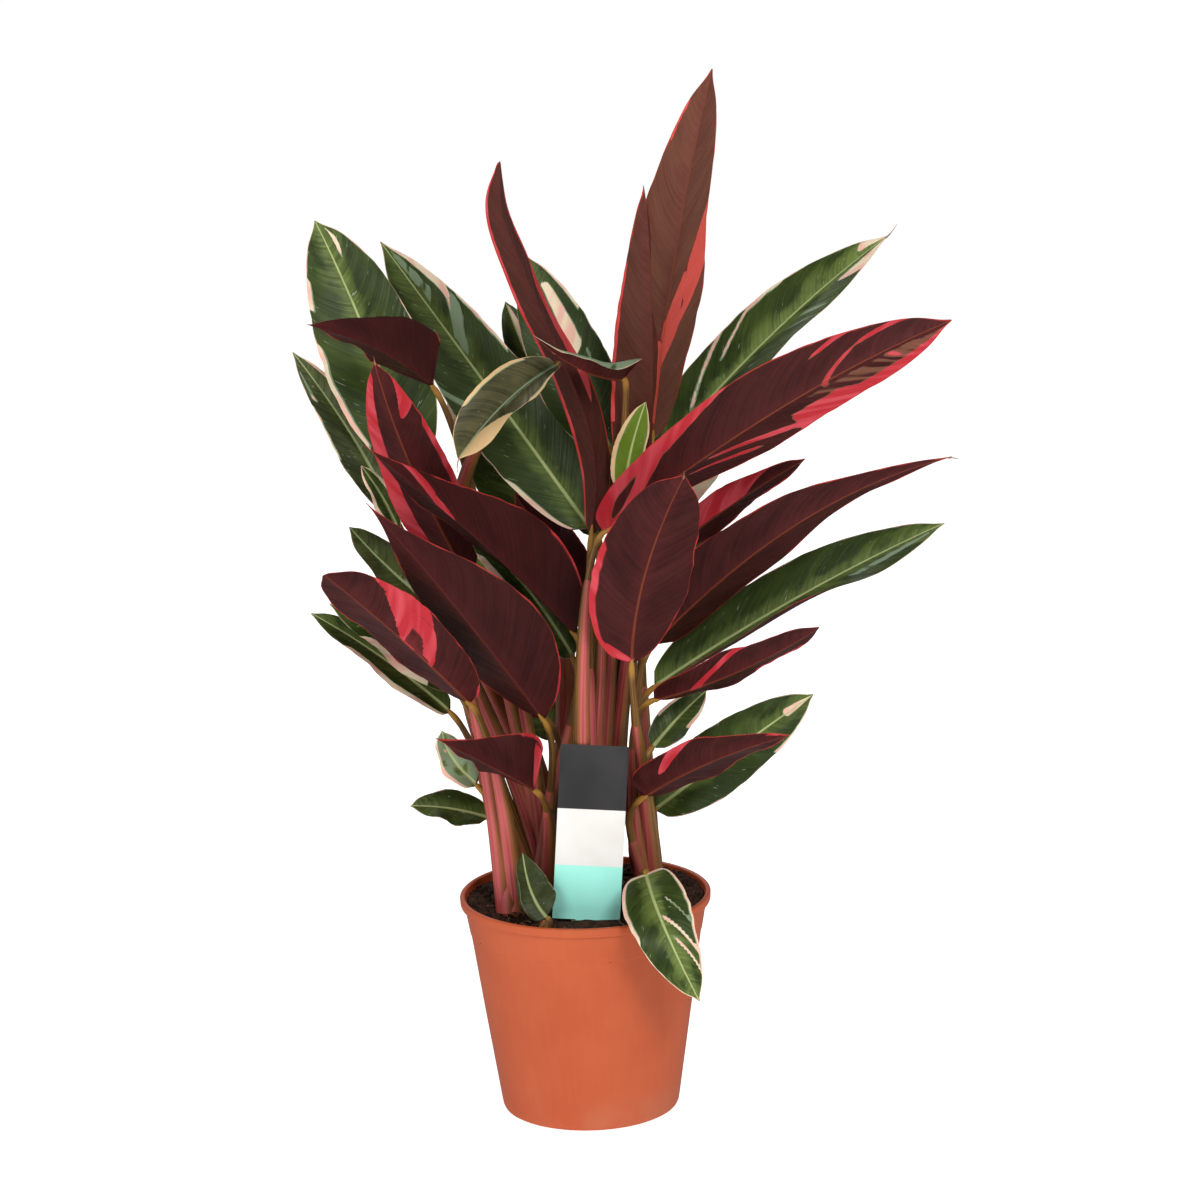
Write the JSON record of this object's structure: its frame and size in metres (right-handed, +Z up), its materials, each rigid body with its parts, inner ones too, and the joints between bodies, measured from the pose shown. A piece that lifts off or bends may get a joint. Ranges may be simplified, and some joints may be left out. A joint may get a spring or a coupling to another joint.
{
  "type": "potted stromanthe plant",
  "caption": "Leafy stromanthe in a tapered plastic grow pot: upright and spreading lance-shaped blades on slender stalks, soil and a plain stick-in label.",
  "frame": {"origin": "middle of the pot's flat underside", "axes": "+Z up the plant, -Y the front that the label faces, +X to the viewer's right"},
  "size_m": [0.4357, 0.2936, 0.7019],
  "materials": {
    "pot_plastic": "satin terracotta orange",
    "peat": "moist dark potting soil",
    "label_card": "printed charcoal, off-white and mint",
    "stalk": "rose and olive",
    "leaf_green_face": "green with cream and pink streaks, burgundy beneath",
    "leaf_burgundy_face": "burgundy underside with pink-red streaks, green above"
  },
  "bodies": {
    "root": {"pot": "pot_plastic", "soil": "peat", "plant_label": "label_card", "shoot_left": "stalk", "shoot_mid_left": "stalk", "shoot_centre": "stalk", "shoot_spear": "stalk", "shoot_right": "stalk", "shoot_right_back": "stalk", "shoot_back_left": "stalk", "sucker_front": "stalk", "sucker_right": "stalk", "leaf_01": "leaf_burgundy_face", "leaf_02": "leaf_burgundy_face", "leaf_03": "leaf_burgundy_face", "leaf_04": "leaf_green_face", "leaf_05": "leaf_green_face", "leaf_06": "leaf_green_face", "leaf_07": "leaf_green_face", "leaf_08": "leaf_burgundy_face", "leaf_09": "leaf_green_face", "leaf_10": "leaf_green_face", "leaf_11": "leaf_burgundy_face", "leaf_12": "leaf_green_face", "leaf_13": "leaf_burgundy_face", "leaf_14": "leaf_burgundy_face", "leaf_15": "leaf_burgundy_face", "leaf_16": "leaf_green_face", "leaf_17": "leaf_green_face", "leaf_18": "leaf_green_face", "leaf_19": "leaf_green_face", "leaf_20": "leaf_burgundy_face", "leaf_21": "leaf_green_face", "leaf_22": "leaf_green_face", "leaf_23": "leaf_green_face", "leaf_24": "leaf_burgundy_face", "leaf_25": "leaf_green_face", "leaf_26": "leaf_burgundy_face", "leaf_27": "leaf_burgundy_face", "leaf_28": "leaf_burgundy_face", "leaf_29": "leaf_burgundy_face", "leaf_30": "leaf_green_face", "leaf_31": "leaf_burgundy_face", "leaf_32": "leaf_green_face", "leaf_33": "leaf_green_face", "leaf_34": "leaf_burgundy_face", "leaf_35": "leaf_green_face", "leaf_36": "leaf_burgundy_face", "leaf_37": "leaf_burgundy_face", "leaf_38": "leaf_green_face", "leaf_39": "leaf_green_face", "leaf_40": "leaf_green_face", "leaf_41": "leaf_green_face", "leaf_42": "leaf_green_face", "leaf_43": "leaf_green_face", "leaf_44": "leaf_green_face"}
  },
  "joints": []
}
